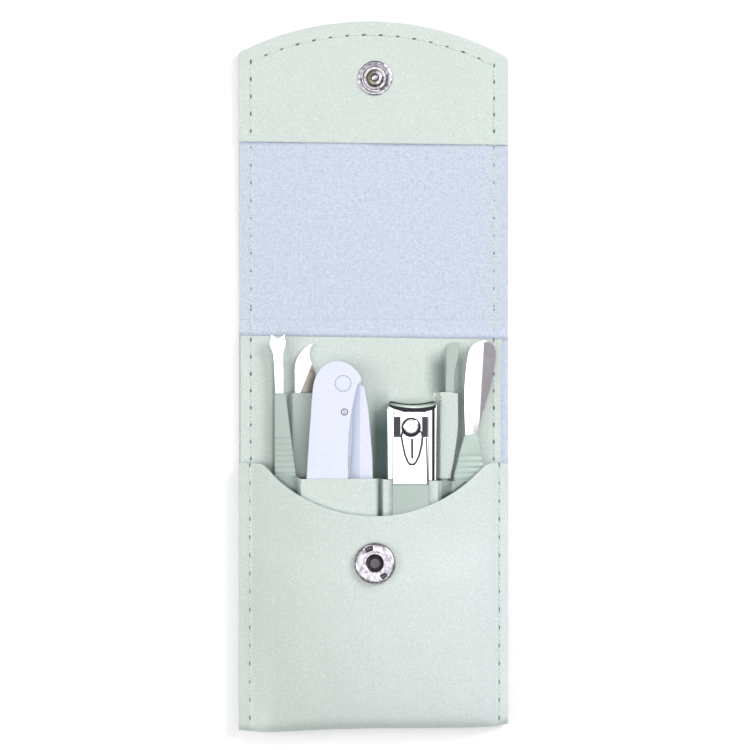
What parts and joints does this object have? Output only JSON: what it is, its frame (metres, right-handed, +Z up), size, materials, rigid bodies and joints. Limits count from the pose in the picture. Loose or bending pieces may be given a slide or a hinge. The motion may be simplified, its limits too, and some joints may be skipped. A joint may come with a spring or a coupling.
{
  "type": "manicure set case",
  "caption": "Folding pocket case for nail care tools, open: fabric-lined flap with a press snap, leather pockets, and clipper, scissors and slim tools that slide out.",
  "frame": {"origin": "on the surface the case lies on, under the middle of the open case", "axes": "+X across the case to the user's right, +Y from the bottom fold to the tip of the open flap, +Z up out of the pockets"},
  "size_m": [0.0756, 0.199, 0.0144],
  "materials": {
    "mint_leather": "smooth mint artificial leather with a fine grain and a faint pearl sheen",
    "lining_fabric": "pale blue woven cloth",
    "padding": "pressed felt padding",
    "thread": "pale mint sewing thread",
    "nickel": "bright nickel plate",
    "spring_steel": "plain steel",
    "tool_steel": "polished stainless steel",
    "chrome_plate": "mirror chrome plate",
    "mint_coating": "satin mint coating on steel",
    "white_plastic": "smooth white plastic with a cool tint"
  },
  "bodies": {
    "case": {"outer_cover": "mint_leather", "back_padding": "padding", "case_lining": "lining_fabric", "back_pocket_panel": "mint_leather", "left_pocket_band": "mint_leather", "right_pocket_band": "mint_leather", "lower_pocket_panel": "mint_leather", "left_stitching": "thread", "right_stitching": "thread", "snap_socket": "nickel", "snap_spring": "spring_steel", "snap_eyelet": "nickel"},
    "spine": {"spine_cover": "mint_leather", "spine_lining": "lining_fabric", "spine_stitching": "thread"},
    "flap": {"flap_cover": "mint_leather", "flap_lining": "lining_fabric", "flap_facing": "mint_leather", "flap_stitching": "thread", "snap_stud": "nickel", "snap_cap": "nickel"},
    "trimmer": {"trimmer_blade": "tool_steel", "trimmer_handle": "mint_coating"},
    "knife": {"knife_blade": "tool_steel", "knife_handle": "mint_coating"},
    "scissors": {"scissors_front_handle": "white_plastic", "scissors_rear_handle": "white_plastic", "scissors_blade_left": "tool_steel", "scissors_blade_right": "tool_steel", "scissors_pivot": "white_plastic", "scissors_rivets": "spring_steel"},
    "clipper": {"clipper_lower_arm": "chrome_plate", "clipper_rivet": "chrome_plate", "clipper_pin": "chrome_plate", "clipper_lever": "chrome_plate", "clipper_lever_grip": "mint_coating"},
    "clipper_jaw": {"clipper_upper_arm": "chrome_plate"},
    "tweezers": {"tweezers_rear_arm": "mint_coating"},
    "tweezers_spring_arm": {"tweezers_front_arm": "mint_coating"},
    "pusher": {"pusher_blade": "tool_steel", "pusher_handle": "mint_coating"}
  },
  "joints": [
    {"name": "spine_fold", "type": "hinge", "parent": "case", "child": "spine", "pos_m": [0, 0.01214, 0.0012], "axis": [-1, 0, 0], "range_deg": [-90, 0]},
    {"name": "flap_fold", "type": "hinge", "parent": "spine", "child": "flap", "pos_m": [0, 0.01914, 0.0012], "axis": [-1, 0, 0], "range_deg": [-83.05, 0]},
    {"name": "trimmer_slide", "type": "slide", "parent": "case", "child": "trimmer", "axis": [0, 1, 0], "range_m": [0, 0.063]},
    {"name": "knife_slide", "type": "slide", "parent": "case", "child": "knife", "axis": [0, 1, 0], "range_m": [0, 0.08]},
    {"name": "scissors_slide", "type": "slide", "parent": "case", "child": "scissors", "axis": [0, 1, 0], "range_m": [0, 0.034]},
    {"name": "clipper_slide", "type": "slide", "parent": "case", "child": "clipper", "axis": [0, 1, 0], "range_m": [0, 0.044]},
    {"name": "tweezers_slide", "type": "slide", "parent": "case", "child": "tweezers", "axis": [0, 1, 0], "range_m": [0, 0.074]},
    {"name": "pusher_slide", "type": "slide", "parent": "case", "child": "pusher", "axis": [0, 1, 0], "range_m": [0, 0.059]},
    {"name": "clipper_squeeze", "type": "hinge", "parent": "clipper", "child": "clipper_jaw", "pos_m": [0.0108, -0.058, 0.0045], "axis": [-1, 0, 0], "range_deg": [0, 1.1], "stiffness_Nm_per_rad": 0.5},
    {"name": "tweezers_squeeze", "type": "hinge", "parent": "tweezers", "child": "tweezers_spring_arm", "pos_m": [0.0215, 0, 0.0037], "axis": [1, 0, 0], "range_deg": [0, 0.29], "stiffness_Nm_per_rad": 0.2}
  ],
  "couplings": [
    {"joint": "flap_fold", "follows": "spine_fold", "ratio": 0.92276}
  ]
}
